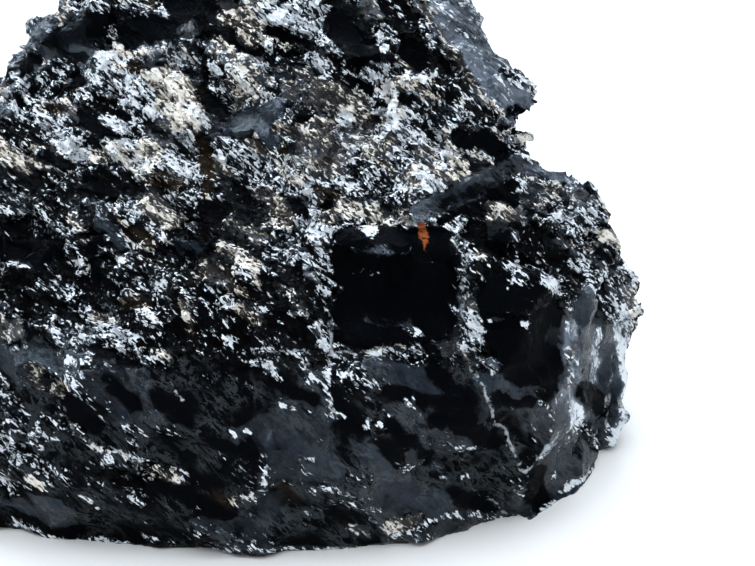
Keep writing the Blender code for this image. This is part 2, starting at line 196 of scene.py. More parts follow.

# Strokes of stone on the front as the first view shows them, later ones over earlier ones: each row has a
# kind and its strokes, and each stroke has both ends in millimetres to the right of and above the view's
# middle, and half the width
# Many bright strokes and all shards strokes are painted glints, and one pale stroke is a painted highlight
# along an edge
STROKES = (
    # broad faces
    ("glass", (-66, -36, 26, -36, 19), (24, -26, 30, -32, 11)),
    ("black", (28, -4, 31, -12, 8)),
    ("dark", (-72, 2, -36, -6, 9), (-38, 8, -16, -6, 7), (-28, -12, -14, -12, 4), (18, 6, 34, 8, 5)),
    ("black", (-2.5, 4.5, 10, 4.5, 6.6), (-2, -6, 10, -5.5, 6.6), (-6.6, 9.4, 12.6, 9.6, 1.9),
     (-8, -10.6, -2.4, -12.2, 1.1)),
    ("slate", (-3, -7.4, 6.4, -8.4, 0.7), (-5.4, 6.8, 2.6, 6.2, 0.5)),
    ("black", (7, -11.2, 14.2, -10.2, 1.5), (12.8, 3.6, 14.4, -2.4, 1), (34, -8, 36, -20, 4.4)),
    ("matt", (14.5, 53.5, 26, 36.5, 4.6), (15.5, 56, 21, 48, 4.4), (24.6, 43, 30, 33, 3),
     (29, 23, 39, 21.5, 1.4)),
    ("slate", (42, -16, 38, -40, 4.4)),
    ("milky", (48, -9, 47.2, -28, 1.6)),
    # black and slate facets of the lower front
    ("slate", (-1.5, -16, 12.5, -20.4, 1.9), (20.5, -19.6, 28.5, -22.6, 1.5),
     (-3.5, -31.6, 1.5, -38.6, 2.4), (2, -39.4, 12.5, -44.6, 2.4), (-18.4, -31.4, -8.4, -37.4, 1.9),
     (-75, -13.6, -71, -19, 1.8), (-68.6, -14, -64, -16.4, 1.5), (-74.6, -42.6, -62, -46.4, 2.2)),
    ("black", (2, -22, 9, -23.6, 1.3), (10.6, -17.6, 17.6, -23.6, 1.7), (23.5, -22.8, 31, -24.2, 1),
     (12, -27, 23, -31.6, 1.8), (3, -29, 9.6, -35, 1.7), (14.6, -42, 22, -44.6, 1.4),
     (29.8, -35, 33, -45, 1.9), (-9, -22, -3, -30, 1.7), (-20.4, -19.6, -13, -23.4, 1.4),
     (-54, -19.4, -48.4, -24.6, 1.5), (-26, -31.6, -23.6, -37, 1.3), (-33.6, -31.4, -24, -35.6, 1.2),
     (-45, -22, -38, -27.4, 1.5), (-44, -39.6, -30.6, -46.4, 1.8), (-62, -22.6, -56.6, -28.6, 1.9)),
    ("dark", (-57, -36.6, -48, -40.4, 1.8)),
    # upper left: black faces, the knob and its shards
    ("black", (-64.5, 47.4, -56, 52.4, 2.9), (-61, 45.8, -57.6, 45, 1.3), (-49.4, 49.8, -42.4, 51.8, 3),
     (-61.2, 44, -60, 40, 1.3), (-72, 45.4, -71.4, 43.6, 1.1)),
    ("dark", (-57, 55.6, -47, 53.4, 1)),
    ("slate", (-73.4, 45.4, -66, 51.6, 1.8), (-66.6, 46.2, -63.2, 44.6, 1.1),
     (-75.5, 34.9, -72.5, 33.4, 1.5)),
    ("flecks", (-68.9, 39.4, -62.7, 43.2, 2)),
    # mostly painted glints, like the shards strokes below
    ("bright", (-72.2, 41.5, -70.4, 39.3, 0.8), (-55.6, 45.6, -49.6, 44.5, 0.9),
     (-55.2, 43.8, -52.4, 42.2, 1.1), (-58, 41.8, -54, 40.2, 1.1), (-50.2, 41.4, -46.2, 38.8, 1.4),
     (-44.4, 54.5, -41.8, 54.2, 0.6), (-53.8, 32.4, -51, 30.8, 1.2)),
    ("shards", (-53, 40.3, -43.8, 35, 2.6), (-55.6, 54.3, -47.6, 56.2, 0.8),
     (-60.2, 56.2, -58.2, 56, 0.9), (-70.4, 32.8, -59.4, 29, 2.3)),
    ("pale", (-54.3, 50.8, -53, 49, 0.8), (-67.4, 36.5, -61.2, 36.3, 0.45),
     (-42.4, 46.8, -35.6, 44, 1.5)),
    ("brown", (-67.6, 35.3, -63.4, 34.9, 0.6), (-49.2, 43.8, -45.4, 41.4, 1),
     (-75.5, 38.2, -74.6, 36.6, 0.8)),
    ("cream", (-44, 40.8, -37, 39.3, 2.3), (-42.2, 36.2, -37.4, 31.2, 2.6)),
    ("grey", (-47, 47.2, -43, 45.2, 1.1)),
    ("dark", (-75, 33, -68, 30.6, 0.9), (-47.6, 33.8, -43, 30, 1), (-61, 31.4, -55.6, 27.6, 1.2),
     (-56, 22.4, -47.6, 17.6, 1.7), (-74, 23, -60, 20.6, 1.4)),
    ("black", (-38.4, 43.6, -36.6, 41, 0.7), (-64, 37.8, -60.6, 39.6, 0.5),
     (-52.4, 34.4, -50, 32.8, 0.5)),
    # upper middle
    ("beige", (-30.8, 53.5, -24, 52.4, 1.9), (-27.3, 49.7, -23.8, 47.6, 1.3)),
    ("grey", (-33.4, 46.4, -27.4, 44.4, 1.8)),
    ("cream", (-26.2, 43.4, -22.2, 40.8, 1.2)),
    ("shards", (-21.7, 53.8, -9.4, 53, 2.4)),
    ("bright", (-20.8, 53.2, -18, 52.4, 1.2), (-16.6, 51.2, -13.2, 49.6, 1.5)),
    ("black", (-22.2, 50.3, -14, 48.2, 0.7)),
    ("shards", (-12, 49.2, -8.2, 48, 1.1), (-33.6, 44.2, -30.8, 35.4, 1.6),
     (-39.4, 29, -35.6, 26.8, 1.6)),
    ("pale", (-23.2, 48, -17, 47.2, 0.9), (-28.4, 42.2, -25.4, 39, 1.5), (-25.2, 38, -21.2, 37.2, 1)),
    ("flecks", (-21.6, 46, -14.4, 44.4, 1.6)),
    ("bright", (-13.4, 45.4, -10.4, 42.4, 1.4)),
    ("black", (-8, 51.6, -2, 45, 2.8), (-34.9, 45.8, -33.8, 34, 0.8)),
    ("bright", (-2, 41.8, 0.4, 40.8, 1.6)),
    ("cream", (-17.6, 42.2, -14, 40.8, 1.2)),
    ("brown", (-35.8, 38.4, -35.4, 37, 0.8)),
    ("black", (-33.8, 36.4, -30.4, 33.2, 1.3)),
    # painted highlight along the edge of the slate face below
    ("pale", (-29.8, 32.9, -20.8, 37.3, 0.6)),
    ("slate", (-28.2, 31.6, -20.4, 35, 2), (-24, 32.4, -21.4, 28.8, 1.9),
     (-32.4, 29.8, -28.4, 29.7, 1.2)),
    ("beige", (-13.6, 38.6, -4.4, 35.6, 3.2)),
    ("pale", (-10.2, 33.7, -0.6, 28.9, 0.8), (-6.8, 34.2, -4.8, 33, 1.2),
     (-39.4, 36.6, -34.6, 32.2, 1.5)),
    ("cream", (-20, 30.8, -9, 28.8, 1.7)),
    ("grey", (-8.8, 30.4, -1.4, 27.8, 1.6)),
    # upper right, left of the grey face
    ("dark", (2.6, 55.6, 7.2, 49.6, 2.4)),
    ("grey", (7.8, 55.2, 10.2, 54, 1.2)),
    ("bright", (-0.4, 47.9, 2, 47, 0.8), (10.6, 49, 11.6, 42.6, 1.1)),
    ("black", (-3.4, 46.2, 2, 44.6, 1.3)),
    ("pale", (6.8, 42.2, 10.2, 41.4, 1)),
    ("black", (5.8, 46.8, 8.6, 43.4, 1.6)),
    ("shards", (-2.4, 43.2, 4.8, 42.8, 1.2)),
    ("bright", (-2, 41.4, 1, 40.4, 1.2)),
    ("pale", (1.2, 38.6, 4.6, 34.8, 1.9)),
    ("black", (5, 37, 8, 35.6, 1.1)),
    ("bright", (6.2, 38, 8.4, 37.6, 0.5), (0.4, 33, 7.8, 29.8, 2.1), (16.4, 50.6, 17.8, 49.2, 0.6)),
    ("beige", (-3.4, 33.6, 0.2, 31.8, 1.2)),
    ("flecks", (8.8, 33.6, 15.8, 32.4, 3), (25.8, 42.4, 28.4, 40.4, 1.3)),
    ("dark", (12.4, 45, 16.4, 41.4, 2.4), (12.8, 39.2, 16.2, 37.8, 2)),
    ("pale", (16.6, 37.1, 18, 36.3, 0.8)),
    ("dark", (19, 35.3, 24.4, 32.5, 1.5)),
    ("cream", (22.8, 30.2, 25.6, 29.2, 0.8), (13.4, 30.4, 14.8, 27.8, 1), (10.4, 52.4, 15.4, 46.2, 0.5)),
    ("black", (26.2, 34.8, 29.4, 33.8, 0.9), (16, 29.6, 18.6, 27.6, 1.3)),
    ("brown", (15.4, 46, 19.6, 39.6, 0.7)),
    ("cream", (20.2, 38.2, 25.2, 33.4, 0.5)),
    # left, from the cream rock down to the black glass
    ("pale", (-53.6, 27.8, -47, 22.8, 1.9), (-54.4, 16.2, -52, 14.9, 0.9), (-60, 4.4, -57.8, 2.6, 1.1)),
    ("cream", (-46.8, 27, -42.4, 25.4, 1.9), (-75.5, 27, -70.6, 23.6, 1.9), (-70, 24, -62.4, 22.6, 0.7)),
    ("shards", (-41, 25, -35.8, 20.2, 1.9), (-48.4, 0.4, -43, -0.6, 0.9)),
    ("bright", (-40.4, 24.4, -37, 20.8, 0.8), (-66, 28.2, -62.2, 28, 0.7)),
    ("brown", (-45.4, 21.2, -40, 20, 1.6)),
    ("beige", (-46, 16.2, -41, 12.6, 2.2)),
    ("black", (-67.6, 25.8, -62.8, 23.8, 1.3), (-75, 6.8, -67, 4.8, 2.2)),
    ("dark", (-74, 19, -56, 14, 3.6)),
    ("slate", (-55, 12, -51, 8, 1.4)),
    ("beige", (-61, 13.2, -58.4, 8.8, 1.1)),
    ("flecks", (-68.4, 10.6, -61.8, 8.8, 1.3)),
    ("bright", (-73.4, 3.9, -70.4, 3.6, 0.55)),
    ("pale", (-52.4, 5.4, -51.2, 4.6, 0.8)),
    ("brown", (-49, 10.4, -45.6, 7.4, 1.3)),
    ("pale", (-49.8, 8.4, -46, 6.6, 0.5), (-45.2, 11.6, -38.6, 5.8, 0.6)),
    ("shards", (-65.2, 3.4, -62.8, 0, 1.1)),
    ("black", (-57.6, 8, -56.2, 0.8, 0.8)),
    # middle, around the brown cleft and the white column
    ("brown", (-34.8, 28, -33.8, 17, 1.3)),
    ("shards", (-39.2, 27, -36.6, 21, 1.5), (-30.4, 26.8, -22.6, 21.4, 2.8)),
    ("pale", (-20.4, 24.6, -15.4, 21.8, 2.1)),
    ("brown", (-19.2, 27, -18.8, 26.4, 0.8)),
    ("grey", (-13.8, 26.8, -6.6, 25.6, 2)),
    ("bright", (-6.4, 21.2, -3.2, 19.6, 1.2), (-13.4, 18.8, -12.2, 14.4, 1.1)),
    ("beige", (-23, 17.6, -17.8, 13.6, 2)),
    ("dark", (-30.4, 17.6, -24, 12.8, 3)),
    ("cream", (-29.8, 12.2, -20.4, 8.9, 0.6), (-21.8, 11.8, -17.8, 11.3, 0.9),
     (-7.2, 15.6, 0.2, 12.6, 1.5), (-30.8, 6.6, -24.6, 3.4, 1.6)),
    ("bright", (-15, 12.6, -10.6, 10.4, 1.7), (-13, 9, -9.2, 2.6, 1.1), (-2.4, 11.4, -0.8, 9.8, 0.9)),
    ("black", (-17, 16.2, -14.4, 14.4, 1.1)),
    ("brown", (-11.8, 18.8, -8, 17.2, 0.9)),
    ("shards", (-21.6, 6.2, -13.8, 4.2, 1.4), (-5.2, 2.3, 0.6, 2, 0.5)),
    ("slate", (-39.2, 7.6, -35.2, 6.8, 1.2)),
    ("beige", (-34, 2.4, -25, -1, 2.2)),
    ("dark", (-27.4, 1.2, -24.2, -1.6, 1.3), (-14.8, -1.6, -13, -7.6, 1.1)),
    # right of the middle, the slab and what lies round it
    ("pale", (9.8, 27.8, 13, 26.2, 0.7), (11.4, 25.2, 13.2, 23.6, 1.1), (14.4, 27, 16.2, 25.9, 0.9),
     (19, 26.2, 22.2, 24.4, 1.2)),
    ("bright", (8.8, 21.8, 12, 18.9, 1.4), (16.5, 2.6, 17.3, 0.6, 0.9), (33.2, 0.6, 36.2, -1.2, 1)),
    ("flecks", (-3.4, 22.4, 4, 18, 2.4)),
    ("pale", (4.2, 19.2, 7, 18, 0.9)),
    ("cream", (8.6, 16.9, 11, 16.4, 0.6)),
    ("slate", (8.4, 14, 27.6, 23.6, 2)),
    ("glass", (11, 14.8, 26.6, 22.4, 1.2)),
    ("black", (12.6, 12.6, 27.6, 19.8, 0.8), (23, 18.2, 27, 16.8, 1.2)),
    ("cream", (22.2, 13.2, 25.6, 14.4, 0.9)),
    ("black", (23.6, 10.4, 25, 9.8, 2)),
    ("shards", (16, 9, 18.4, 5.6, 1.2), (26.6, 3.4, 29, 0.6, 1.2)),
    ("cream", (20.5, 5.4, 21, 5, 0.7)),
    # shoulder and the right edge
    ("pale", (31.6, 20.8, 33.4, 19.8, 0.8)),
    ("slate", (31, 19.4, 32.4, 18.2, 1)),
    ("cream", (29.8, 17.8, 33, 15.8, 1.1), (45, 9.8, 48.6, 7, 1.1)),
    ("pale", (34.4, 16.8, 36.6, 17, 0.8)),
    ("grey", (38.4, 18.6, 42, 16.4, 1.6)),
    ("bright", (40.8, 14.6, 43.4, 13.4, 1)),
    ("milky", (36.4, 14.6, 37, 10.2, 0.6)),
    ("black", (38.2, 12.6, 40.2, 9.4, 1.3), (44.6, 5.8, 47.8, 4.6, 1.3)),
    ("grey", (35.2, 8.6, 42.4, 4.6, 0.5)),
    ("flecks", (41.2, 2.4, 47.8, 0.6, 1.3), (37, -2.2, 40, -5, 1.2)),
    ("pale", (41.6, -2.8, 43.4, -6, 1.1)),
    ("shards", (41, 4, 47, -3, 1.8), (36, 13, 42, 9, 1.6)),
    ("slate", (44, -4, 45, -34, 4.6)),
    ("milky", (38.4, -8.4, 40, -29, 1.5), (44.2, -10, 43, -20, 0.9)),
    ("bright", (47.2, -3.4, 50.2, -7.6, 1.1)),
    ("upright", (48.2, -9, 50.4, -21, 1.3), (50.2, -21, 47.6, -34, 1.1)),
    ("flecks", (44, 0, 47, -7, 1.4)),
    ("grey", (39.4, -11.6, 38.6, -20.4, 0.9)),
    ("matt", (35.4, -23.8, 38.2, -21.5, 0.9)),
    ("milky", (38.8, -22.6, 39.4, -27.6, 0.9)),
    ("grey", (36.2, -33.4, 39.8, -29.6, 0.9)),
    ("black", (41.4, -21.6, 44.6, -24.6, 2.1), (33, -37, 31, -43, 1.3)),
    ("flecks", (41.6, -29, 44.2, -32, 1.3)),
    ("bright", (45.6, -28.4, 47, -32.6, 0.6), (36.8, -42, 45, -35.8, 0.5)),
    # specks of the middle left, mostly painted glints
    ("shards", (-67, 0, -60.4, -1.4, 1.1), (-64.4, -2.2, -62.2, -3, 0.8), (-61, -4.6, -57.8, -6, 0.7)),
    ("flecks", (-72, -5.6, -69.4, -7.6, 0.6), (-49, -13.8, -41.8, -17.6, 0.8),
     (-26, -12.2, -20.6, -10.6, 0.6), (-36, -17.2, -33, -22, 0.6)),
    ("cream", (-56.4, -6.8, -53, -8, 1.3), (-69.4, -17.6, -63.4, -21.4, 1.8)),
    ("shards", (-55, -8.8, -50.6, -10.4, 1.3), (-59, -13.4, -57.2, -14.6, 0.5),
     (-75.5, -18.6, -73.6, -21.2, 0.9), (-74, -26.2, -72, -29.2, 0.9), (-34.2, -1, -29.8, -4.4, 1.1),
     (-23, -4.8, -20.2, -6.8, 0.6)),
    ("bright", (-51.4, -10.4, -47.8, -11.5, 0.7), (-62.6, -14.8, -58.6, -16.2, 0.5),
     (-12, -1, -10.6, -2.4, 0.6), (-29.2, -11, -28.5, -12.8, 0.7), (-23, -16.2, -19.4, -18.6, 1.2)),
    ("brown", (-50.8, -3.2, -46.6, -4.6, 0.9)),
    ("pale", (-47, -5.4, -44.2, -7.2, 0.9), (-18.6, -0.4, -14.2, -6.6, 0.6), (-12, -8.6, -10, -12, 0.6)),
    ("beige", (-38.6, -3.6, -37.4, -9.4, 1), (-27.4, -5.4, -24, -7.6, 1.4)),
    ("shards", (-35.8, -10.2, -30.2, -10.6, 0.5), (-22.8, -13.4, -16.2, -13.9, 0.5),
     (-26, -16.2, -23.8, -16, 0.7)),
    ("bright", (-11.4, -12, -8, -14.4, 1.1), (-13.6, -18.4, -12.4, -20.6, 0.6)),
    ("shards", (-10.2, -15.4, -9.7, -27, 0.6), (-7.4, -18.5, -3.6, -19.4, 0.45),
     (-20.4, -24.2, -13.4, -25.8, 0.6), (-10.4, -27.1, -7, -26.2, 0.5),
     (-27.6, -27.8, -25.4, -29.2, 0.5)),
    # specks right of the white star, mostly painted glints
    ("bright", (-1, -13.9, 4.6, -13.6, 0.55)),
    ("shards", (5.4, -9.2, 8, -9.9, 0.4), (14.6, -4.2, 16.4, -6.4, 0.5), (17.3, -8.6, 17.8, -13.6, 0.8),
     (25.8, 0.2, 29.4, -0.3, 0.6), (32.2, -24.6, 33.4, -24.6, 0.4)),
    ("bright", (19.5, -13.8, 20, -15.2, 0.5), (21.8, -7.8, 24.6, -6.9, 0.4),
     (28.6, -8.2, 30.6, -7.7, 0.4), (22.6, -18.3, 23.2, -18.3, 0.4), (5.4, -23.8, 8.4, -24, 0.4),
     (8.6, -25.7, 10.6, -25.6, 0.5)),
    ("flecks", (31.4, -20.6, 33.2, -21.4, 0.5)),
    # lower left
    ("shards", (-75.2, -29.6, -72.6, -35.2, 1.3), (-75.4, -38.2, -72.6, -41.6, 1),
     (-73, -47.6, -64.4, -51, 0.5), (-62, -19, -58.6, -21.6, 0.5), (-49, -42.4, -47.4, -44, 0.5),
     (-36.4, -45, -34.6, -46, 0.4), (-64.4, -51.4, -49.8, -52.4, 0.5), (-46, -51, -40.4, -52, 0.5)),
    ("cream", (-70, -38.8, -67, -40.8, 0.9)),
    # painted glint
    ("bright", (-68.6, -31, -64, -31.6, 0.5)),
    ("flecks", (-67.6, -36, -63.2, -38.6, 0.8), (-74, -22, -68, -32, 1.8)),
    ("pale", (-59, -31, -56.4, -33, 0.6), (-56.4, -33, -51.8, -34, 0.6), (-51.8, -34, -47.6, -36, 0.6),
     (-47.6, -36, -45.4, -39.2, 0.6), (-59.6, -43, -55.8, -45, 0.45), (-57, -51, -55.2, -51.8, 0.6)),
    ("cream", (-46.4, -37, -39, -38.8, 1.5)),
    # painted glint
    ("bright", (-55.8, -36.2, -53.2, -35.1, 0.4)),
    ("flecks", (-66, -26, -60, -30, 1.4), (-71, -33, -66, -38, 1.4)),
    # lower middle
    ("bright", (-28.6, -30.1, -25.2, -29.2, 0.45), (-14.8, -46.1, -12.7, -45.6, 0.45)),
    ("grey", (-21.2, -29.4, -21.4, -33.2, 0.5)),
    ("shards", (-22.7, -36, -22.9, -41.6, 0.5), (-15.8, -37.6, -12.7, -37.6, 0.5),
     (-13.6, -41.6, -8.2, -40.7, 0.45), (-38.8, -38, -36.6, -40.6, 0.9)),
    ("pale", (-27.4, -42.9, -24.4, -42.9, 0.55), (-15.6, -34.6, -12.9, -35.2, 0.6),
     (-26.8, -51.2, -24.4, -52.4, 0.4)),
    ("brown", (-32.2, -42.4, -29, -44, 1.2), (-21.4, -40.8, -20.6, -41.2, 0.6),
     (-19, -40, -16.8, -42.8, 0.8)),
    ("flecks", (-6.4, -43.6, -3, -45.4, 0.8), (-3.6, -28, -2, -28.8, 0.6)),
    ("cream", (-5.4, -48.4, -3, -50.4, 1.1)),
    ("shards", (-3.4, -28.6, 1, -28.4, 0.4), (-36, -53.4, -4, -53.2, 0.4)),
    # lower right
    ("bright", (15.6, -33, 19.2, -32.7, 0.35)),
    ("pale", (11.6, -36.2, 13.2, -39.6, 0.5)),
    ("shards", (16.4, -39, 18.6, -38.6, 0.4), (7.2, -36.8, 9.6, -35.9, 0.4)),
    ("beige", (2.4, -48.8, 8.4, -47.2, 1.5)),
    ("shards", (2.2, -51.2, 12.8, -47, 0.5)),
    ("bright", (13, -46.8, 19.8, -46.4, 0.5), (34.6, -37.6, 35.2, -38.4, 0.6),
     (32.4, -45.6, 36.2, -43, 0.45)),
    ("shards", (20, -46.6, 27, -46.8, 0.4)),
)

# Milky veins in the glass in the first view: points to the right and up, and width
VEINS = (
    (((18.7, -17.3), (21.5, -21.0), (23.5, -26.6), (26.0, -31.5), (29.4, -37.8)), 0.85),
    (((29.4, -37.6), (32.4, -34.8), (36.5, -30.4)), 0.70),
    (((18.7, -40.6), (22.6, -43.6), (26.8, -47.0)), 0.30),
    (((-42.3, -18.8), (-39.8, -21.8), (-37.8, -24.9)), 0.30),
    (((-29.8, -17.8), (-27.0, -20.0), (-24.7, -21.6)), 0.30),
    (((-10.2, -4.0), (-9.6, -9.0), (-9.2, -14.0), (-9.8, -22.0), (-9.0, -27.0)), 0.45),
    (((-22.9, -13.4), (-14.0, -14.2), (-4.0, -13.8), (4.7, -13.7), (12.0, -14.6)), 0.40),
    (((17.5, 9.0), (17.0, 0.0), (16.6, -8.0), (15.5, -14.0)), 0.40),
    (((27.5, 16.6), (35.5, 12.6), (44.5, 4.6)), 0.35),
    (((39.6, -8.0), (39.2, -14.0), (38.6, -21.0), (39.4, -28.0)), 0.60),
    (((47.6, -14.0), (46.2, -20.0), (45.8, -28.0)), 0.50),
    (((-60.6, -29.4), (-56.4, -33.0), (-51.8, -34.0), (-47.5, -36.0), (-45.4, -39.4)), 0.45),
)

# The rust stain in the first view: both ends and half the width of each part, with its drip
RUST = ((8.8, 11.4, 9.3, 9.6, 1.0), (9.6, 9.4, 9.6, 8.2, 0.55), (9.4, 8.0, 9.4, 6.6, 0.35))


# Numbers that repeat: hashed cells and clouds

def hashed(cells, salt):
    """Repeatable numbers from 0 to 1 for whole-numbered cells."""
    mixed = (
        cells[:, 0] * np.int64(73856093)
        ^ cells[:, 1] * np.int64(19349663)
        ^ cells[:, 2] * np.int64(83492791)
        ^ np.int64(salt * 2654435)
    ) & 0xFFFFFFFF
    for shift, factor in ((16, 0x7FEB352D), (15, 0x046CA68B), (16, 1)):
        mixed = ((mixed ^ (mixed >> shift)) * factor) & 0xFFFFFFFF
    return mixed / 4294967296.0


def hashed_rows(cells, salt):
    """Three repeatable numbers for each cell."""
    return np.stack([hashed(cells, salt + turn) for turn in range(3)], axis=1)


def nearest_cells(places, spacing, salt):
    """Each place's cell, its way from the cell's middle, and the room to the next cell, in millimetres."""
    grid = places / spacing
    home = np.floor(grid).astype(np.int64)
    nearest = np.full(len(places), 9.0)
    second = np.full(len(places), 9.0)
    owner = home.copy()
    offset = np.zeros_like(grid)
    for step in itertools.product((-1, 0, 1), repeat=3):
        cell = home + np.array(step)
        away = grid - cell - hashed_rows(cell, salt)
        distance = np.einsum("ij,ij->i", away, away)
        closer = distance < nearest
        second = np.where(closer, nearest, np.minimum(second, distance))
        nearest = np.where(closer, distance, nearest)
        owner[closer] = cell[closer]
        offset[closer] = away[closer]
    room = (np.sqrt(second) - np.sqrt(nearest)) * spacing
    return owner, offset * spacing, room


def clouds(places, size, salt, layers=2):
    """Soft noise from 0 to 1 whose lumps have this size in millimetres."""
    total = np.zeros(len(places))
    weight = 0.0
    for layer in range(layers):
        grid = places / size * 2**layer
        home = np.floor(grid).astype(np.int64)
        part = grid - home
        part = part * part * (3 - 2 * part)
        share = 0.5**layer
        for step in itertools.product((0, 1), repeat=3):
            corner = np.array(step)
            near = np.prod(np.where(corner, part, 1 - part), axis=1)
            total += share * near * hashed(home + corner, salt + 7 * layer)
        weight += share
    return total / weight


def stray_of(places, size, reach, salt):
    """A small random way for each place, which makes straight borders ragged."""
    ways = [clouds(places, size, salt + 11 * turn, 3) - 0.5 for turn in range(3)]
    return np.stack(ways, axis=1) * 2 * reach


def eased(values, low, high):
    """0 below the low value, 1 above the high one, and a soft rise between them."""
    share = np.clip((values - low) / (high - low), 0, 1)
    return share * share * (3 - 2 * share)


# Where things lie in the first view

def as_seen(places):
    """Where each place shows in the first view: millimetres to the right of and above its middle."""
    angle = math.radians(VIEW_HEIGHT)
    offset = places - TARGET
    depth = DISTANCE + offset @ np.array((0, math.cos(angle), -math.sin(angle)))
    up = offset @ np.array((0, math.sin(angle), math.cos(angle)))
    return np.stack((offset[:, 0], up), axis=1) * (DISTANCE / depth)[:, None]


def beside_line(seen, points):
    """How far each seen place is from a line through the points, in millimetres."""
    nearest = np.full(len(seen), 99.0)
    for start, end in zip(points, points[1:]):
        start = np.array(start)
        way = np.array(end) - start
        share = np.clip((seen - start) @ way / (way @ way), 0, 1)
        distance = np.linalg.norm(seen - start - np.outer(share, way), axis=1)
        nearest = np.minimum(nearest, distance)
    return nearest


def facing_first_view(places, outward):
    """1 where the stone faces the first view, 0 on its other sides."""
    angle = math.radians(VIEW_HEIGHT)
    eye = TARGET + DISTANCE * np.array((0, -math.cos(angle), math.sin(angle)))
    way = eye - places
    way /= np.linalg.norm(way, axis=1)[:, None]
    turned = np.einsum("ij,ij->i", way, outward)
    return eased(turned, -0.15, 0.15) * eased(-places[:, 1], -34, -20)


def end_face(places, seen):
    """1 on the smooth face that ends the stone at the right, below the shoulder."""
    return eased(places[:, 0], *END_FACE_FROM) * eased(-seen[:, 1], *END_FACE_BELOW)


# Kinds of stone

def drawn_out(places, stretch):
    """The places with lengths along the grain shortened, so that even cells come out long in the stone."""
    return places - np.outer(places @ GRAIN, GRAIN) * (1 - 1 / stretch)


def crushed_rock(places, stray):
    """The marks of crushed rock: ragged patches of the mix's kinds."""
    owner, _, _ = nearest_cells(drawn_out(places + stray, GRAIN_STRETCH), PATCH_SIZE, 15)
    lot = hashed(owner, 16)
    marks = np.zeros((len(places), len(MARKS)))
    start = 0.0
    for kind, share in CRUSHED_MIX:
        marks[(lot >= start) & (lot < start + share)] = KINDS[kind]
        start += share
    return marks


def stone_marks(places, outward, least=0.0):
    """The marks of the stone at each place, from strokes whose half width is at least this."""
    seen = as_seen(places)
    front = facing_first_view(places, outward)
    stray = stray_of(places, 2.6, 1.4, 31)
    marks = crushed_rock(places, stray)
    glass = np.array(KINDS["glass"])
    away = np.maximum(eased(clouds(places, GLASS_PATCH, 12), 0.44, 0.56), end_face(places, seen))
    below = GLASS_TOP - seen[:, 1] + 3 * stray[:, 0] + 20 * (clouds(places, 10.0, 13) - 0.5)
    glassy = away * (1 - front) + eased(below, 0, 3) * front
    marks += (glass - marks) * glassy[:, None]
    ragged = seen + stray[:, :2] * STROKE_STRAY
    wanted = [(kind, stroke) for kind, *strokes in STROKES for stroke in strokes if stroke[-1] >= least]
    for kind, (x, y, end_x, end_y, half) in wanted:
        reach = half + 2.0
        low = np.array((min(x, end_x), min(y, end_y))) - reach
        high = np.array((max(x, end_x), max(y, end_y))) + reach
        near = np.flatnonzero(np.all((ragged > low) & (ragged < high), axis=1) & (front > 0))
        inside = half - beside_line(ragged[near], ((x, y), (end_x, end_y)))
        weight = eased(inside, -STROKE_SOFT, STROKE_SOFT) * front[near]
        marks[near] += (np.array(KINDS[kind]) - marks[near]) * weight[:, None]
    return marks


# Relief

def block_heights(places, spacing, tilt, step, stretch, salt):
    """Heights of tilted blocks with small steps between them, in millimetres."""
    owner, offset, _ = nearest_cells(drawn_out(places, stretch), spacing, salt)
    tilts = (hashed_rows(owner, salt + 20) - 0.5) * 2 * math.tan(math.radians(tilt))
    steps = (hashed(owner, salt + 30) - 0.5) * 2 * step
    return np.einsum("ij,ij->i", offset, tilts) + steps


def scar_heights(places, spacing, tilt, depth, stretch, salt):
    """Heights of hollow scars that meet in crisp ridges, and one random number for each scar."""
    grid = drawn_out(places, stretch) / spacing
    home = np.floor(grid).astype(np.int64)
    lowest = np.full(len(places), 99.0)
    lot = np.zeros(len(places))
    for step in itertools.product((-1, 0, 1), repeat=3):
        cell = home + np.array(step)
        away = grid - cell - hashed_rows(cell, salt)
        tilts = (hashed_rows(cell, salt + 20) - 0.5) * 2 * math.tan(math.radians(tilt)) * spacing
        height = np.einsum("ij,ij->i", away, tilts + away * depth * 4)
        lower = height < lowest
        lowest = np.where(lower, height, lowest)
        lot = np.where(lower, hashed(cell, salt + 30), lot)
    return lowest, lot


def ripple_heights(places, calm):
    """Low shell-shaped ripples on calm glass: each broad cell has its own strike point and pitch."""
    owner, offset, room = nearest_cells(places, RIPPLE_CELL, 51)
    blow = (hashed_rows(owner, 52) - 0.5) * RIPPLE_BLOW
    away = np.linalg.norm(offset - blow, axis=1)
    pitch = RIPPLE_PITCH + RIPPLE_SPREAD * hashed(owner, 56)
    strength = eased(hashed(owner, 57), 0.2, 0.9) * eased(room, 0, 2.5)
    wave = np.abs(np.sin(away * math.pi / pitch)) ** 0.7
    return (wave - 0.6) * RIPPLE_HEIGHT * strength * calm


